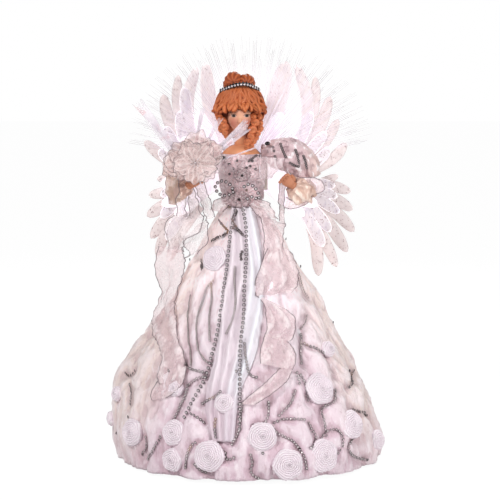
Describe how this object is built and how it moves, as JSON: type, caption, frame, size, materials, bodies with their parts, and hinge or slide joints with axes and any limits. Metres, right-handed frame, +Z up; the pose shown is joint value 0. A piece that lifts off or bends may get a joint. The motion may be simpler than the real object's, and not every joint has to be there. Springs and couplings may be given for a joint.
{
  "type": "angel tree topper",
  "caption": "Standing angel figure on a hollow cone for the tip of a tree, in a wide folded skirt with ribbon rosettes, with feathered wings and a fan of light fibres.",
  "frame": {"origin": "middle of the base, on the surface that the cone's foot and the skirt's hem stand on", "axes": "+Z up towards the tips of the fibres, -Y the way the figure faces, +X to the viewer's right"},
  "size_m": [0.259, 0.2629, 0.405],
  "materials": {
    "cone_card": "white pressed card",
    "skirt_satin": "white satin, soft sheen",
    "skirt_organza": "sheer lilac-white organza with sequins",
    "body_blank": "plain moulding",
    "painted_skin": "painted resin, satin",
    "painted_hair": "painted resin, auburn",
    "bodice_lace": "beaded silver-pink lace",
    "cuff_satin": "cream satin",
    "organza_trim": "sheer organza with wired edges",
    "bloom_organza": "sheer pink-grey organza petals",
    "silver_bead": "silvered beads and stones",
    "rosette_ribbon": "crinkled white-lilac ribbon",
    "feather_film": "translucent pearl film",
    "light_fibre": "clear light fibre",
    "led_lens": "clear lens",
    "white_plastic": "white moulding",
    "switch_black": "black moulding",
    "cell_jacket": null,
    "contact_steel": "plated strip"
  },
  "bodies": {
    "figure": {"support_cone": "cone_card", "overskirt": "skirt_organza", "underskirt": "skirt_satin", "torso_former": "body_blank", "bodice": "bodice_lace", "head_bust": "painted_skin", "hair_cap": "painted_hair", "tiara": "silver_bead", "sleeve_left": "organza_trim", "cuff_left": "cuff_satin", "hand_left": "painted_skin", "sleeve_right": "organza_trim", "cuff_right": "cuff_satin", "hand_right": "painted_skin", "brooch_upper": "silver_bead", "brooch_lower": "silver_bead", "bead_loop_left": "silver_bead", "bead_loop_right": "silver_bead", "bead_strand_left": "silver_bead", "bead_strand_right": "silver_bead", "rosette_01": "rosette_ribbon", "rosette_02": "rosette_ribbon", "rosette_03": "rosette_ribbon", "rosette_04": "rosette_ribbon", "rosette_05": "rosette_ribbon", "rosette_06": "rosette_ribbon", "rosette_07": "rosette_ribbon", "rosette_08": "rosette_ribbon", "rosette_09": "rosette_ribbon", "rosette_10": "rosette_ribbon", "rosette_11": "rosette_ribbon", "rosette_12": "rosette_ribbon", "rosette_13": "rosette_ribbon", "rosette_14": "rosette_ribbon", "rosette_15": "rosette_ribbon", "rosette_16": "rosette_ribbon", "rosette_17": "rosette_ribbon", "rosette_18": "rosette_ribbon", "rosette_19": "rosette_ribbon", "flower_front": "bloom_organza", "flower_back": "bloom_organza", "ribbon_left": "organza_trim", "ribbon_right": "organza_trim", "wing_outer_left": "feather_film", "wing_inner_left": "feather_film", "wing_outer_right": "feather_film", "wing_inner_right": "feather_film", "wing_bracket": "white_plastic", "lamp_housing": "white_plastic", "lamp_led": "led_lens", "fibre_fan": "light_fibre", "fibre_spray": "light_fibre", "battery_case": "white_plastic", "battery_cell_left": "cell_jacket", "battery_cell_right": "cell_jacket", "battery_contact_low": "contact_steel", "battery_contact_high": "contact_steel"},
    "door": {"battery_door": "white_plastic"},
    "switch": {"switch_slider": "switch_black"}
  },
  "joints": [
    {"name": "door_slide", "type": "slide", "parent": "figure", "child": "door", "axis": [0, -0.3162, 0.9487], "range_m": [0, 0.022]},
    {"name": "switch_slide", "type": "slide", "parent": "figure", "child": "switch", "axis": [1, 0, 0], "range_m": [0, 0.004]}
  ]
}
